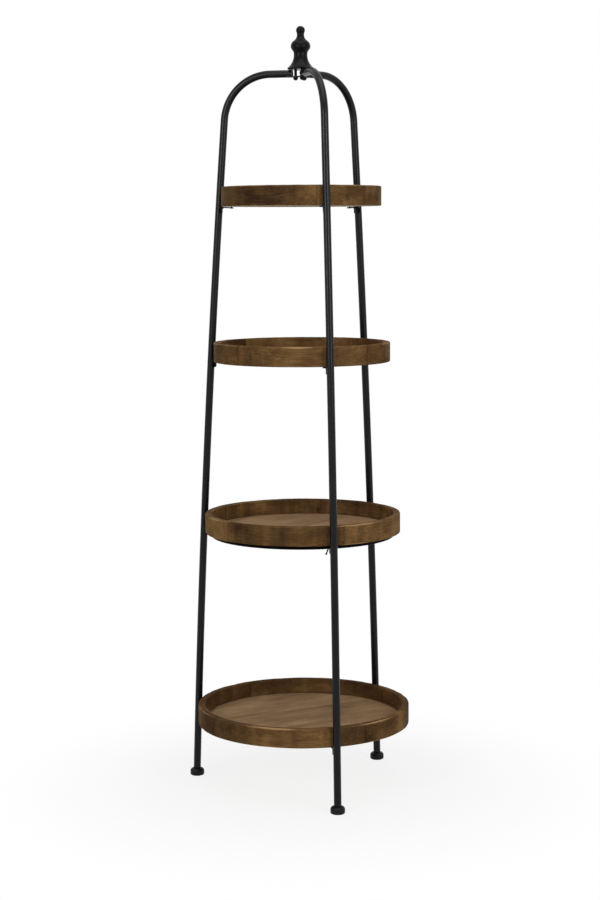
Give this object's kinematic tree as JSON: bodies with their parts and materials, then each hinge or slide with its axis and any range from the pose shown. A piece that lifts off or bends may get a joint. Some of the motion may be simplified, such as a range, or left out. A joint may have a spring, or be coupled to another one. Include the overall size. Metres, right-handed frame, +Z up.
{
  "type": "tiered plant stand",
  "caption": "Tall plant stand with round wooden trays, wider towards the floor, held between bowed black steel tube legs that meet under a turned finial.",
  "frame": {"origin": "on the floor, under the middle of the stand's footprint; the stand's own axis is 15 mm behind it, towards +Y", "axes": "+Z up along the stand, -Y towards the front leg, +X to the right seen from the front leg"},
  "size_m": [0.4646, 0.4946, 1.65],
  "materials": {
    "black_steel_tube": "satin black powder coat on steel tube",
    "black_steel_strip": "satin black powder coat on flat steel strip and rod",
    "black_bolt": "black oxide bolt",
    "black_casting": "satin black paint on a turned casting",
    "black_nylon": "moulded black nylon",
    "zinc_steel": "zinc-plated threaded rod",
    "stained_stave_wood": "brown stained softwood, grain along the stave, edges worn lighter",
    "stained_board_wood": "lighter stained board with faint grain"
  },
  "bodies": {
    "frame": {"leg_front": "black_steel_tube", "foot_front_insert": "black_nylon", "bracket_top_front": "black_steel_strip", "bracket_upper_front": "black_steel_strip", "bracket_lower_front": "black_steel_strip", "bracket_bottom_front": "black_steel_strip", "hub_bolt_front": "black_bolt", "leg_right": "black_steel_tube", "foot_right_insert": "black_nylon", "bracket_top_right": "black_steel_strip", "bracket_upper_right": "black_steel_strip", "bracket_lower_right": "black_steel_strip", "bracket_bottom_right": "black_steel_strip", "hub_bolt_right": "black_bolt", "leg_left": "black_steel_tube", "foot_left_insert": "black_nylon", "bracket_top_left": "black_steel_strip", "bracket_upper_left": "black_steel_strip", "bracket_lower_left": "black_steel_strip", "bracket_bottom_left": "black_steel_strip", "hub_bolt_left": "black_bolt", "tray_top_stave_1": "stained_stave_wood", "tray_top_stave_2": "stained_stave_wood", "tray_top_stave_3": "stained_stave_wood", "tray_top_stave_4": "stained_stave_wood", "tray_top_board": "stained_board_wood", "tray_upper_stave_1": "stained_stave_wood", "tray_upper_stave_2": "stained_stave_wood", "tray_upper_stave_3": "stained_stave_wood", "tray_upper_stave_4": "stained_stave_wood", "tray_upper_board": "stained_board_wood", "tray_lower_stave_1": "stained_stave_wood", "tray_lower_stave_2": "stained_stave_wood", "tray_lower_stave_3": "stained_stave_wood", "tray_lower_stave_4": "stained_stave_wood", "tray_lower_stave_5": "stained_stave_wood", "tray_lower_board": "stained_board_wood", "tray_bottom_stave_1": "stained_stave_wood", "tray_bottom_stave_2": "stained_stave_wood", "tray_bottom_stave_3": "stained_stave_wood", "tray_bottom_stave_4": "stained_stave_wood", "tray_bottom_board": "stained_board_wood", "hoop": "black_steel_strip", "finial": "black_casting"},
    "foot_front": {"foot_front_pad": "black_nylon", "foot_front_stem": "zinc_steel"},
    "foot_right": {"foot_right_pad": "black_nylon", "foot_right_stem": "zinc_steel"},
    "foot_left": {"foot_left_pad": "black_nylon", "foot_left_stem": "zinc_steel"}
  },
  "joints": [
    {"name": "foot_front_level", "type": "slide", "parent": "frame", "child": "foot_front", "axis": [0, 0, -1], "range_m": [0, 0.01]},
    {"name": "foot_right_level", "type": "slide", "parent": "frame", "child": "foot_right", "axis": [0, 0, -1], "range_m": [0, 0.01]},
    {"name": "foot_left_level", "type": "slide", "parent": "frame", "child": "foot_left", "axis": [0, 0, -1], "range_m": [0, 0.01]}
  ]
}
